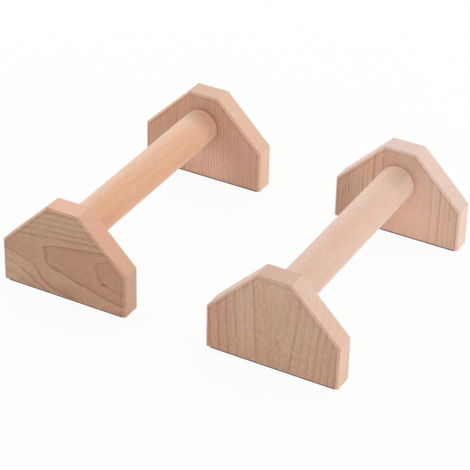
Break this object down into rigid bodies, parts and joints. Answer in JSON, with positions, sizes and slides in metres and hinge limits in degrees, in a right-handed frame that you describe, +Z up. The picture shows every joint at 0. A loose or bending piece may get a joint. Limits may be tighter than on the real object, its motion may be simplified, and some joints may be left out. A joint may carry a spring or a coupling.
{
  "type": "pair of parallette bars",
  "caption": "Low free-standing wooden parallettes for push-ups and handstands: a round grip held between six-sided feet, used in pairs.",
  "frame": {"origin": "on the floor, midway between the four feet", "axes": "+X across the pair from the left bar to the right bar, +Y along the grips towards the rear feet, +Z up"},
  "size_m": [0.37, 0.3, 0.1],
  "materials": {
    "foot_wood": "sanded pale beech, bare",
    "grip_bar_wood": "turned and sanded pale beech, bare",
    "screw_steel": "zinc plated",
    "pad_rubber": "matt black"
  },
  "bodies": {
    "left_bar": {"left_grip_bar": "grip_bar_wood", "left_front_foot": "foot_wood", "left_front_lock_screw": "screw_steel", "left_front_anti_slip_pad": "pad_rubber", "left_rear_foot": "foot_wood", "left_rear_lock_screw": "screw_steel", "left_rear_anti_slip_pad": "pad_rubber"},
    "right_bar": {"right_grip_bar": "grip_bar_wood", "right_front_foot": "foot_wood", "right_front_lock_screw": "screw_steel", "right_front_anti_slip_pad": "pad_rubber", "right_rear_foot": "foot_wood", "right_rear_lock_screw": "screw_steel", "right_rear_anti_slip_pad": "pad_rubber"}
  },
  "joints": [
    {"name": "bar_spacing", "type": "slide", "parent": "left_bar", "child": "right_bar", "axis": [1, 0, 0], "range_m": [-0.085, 0.37]}
  ]
}
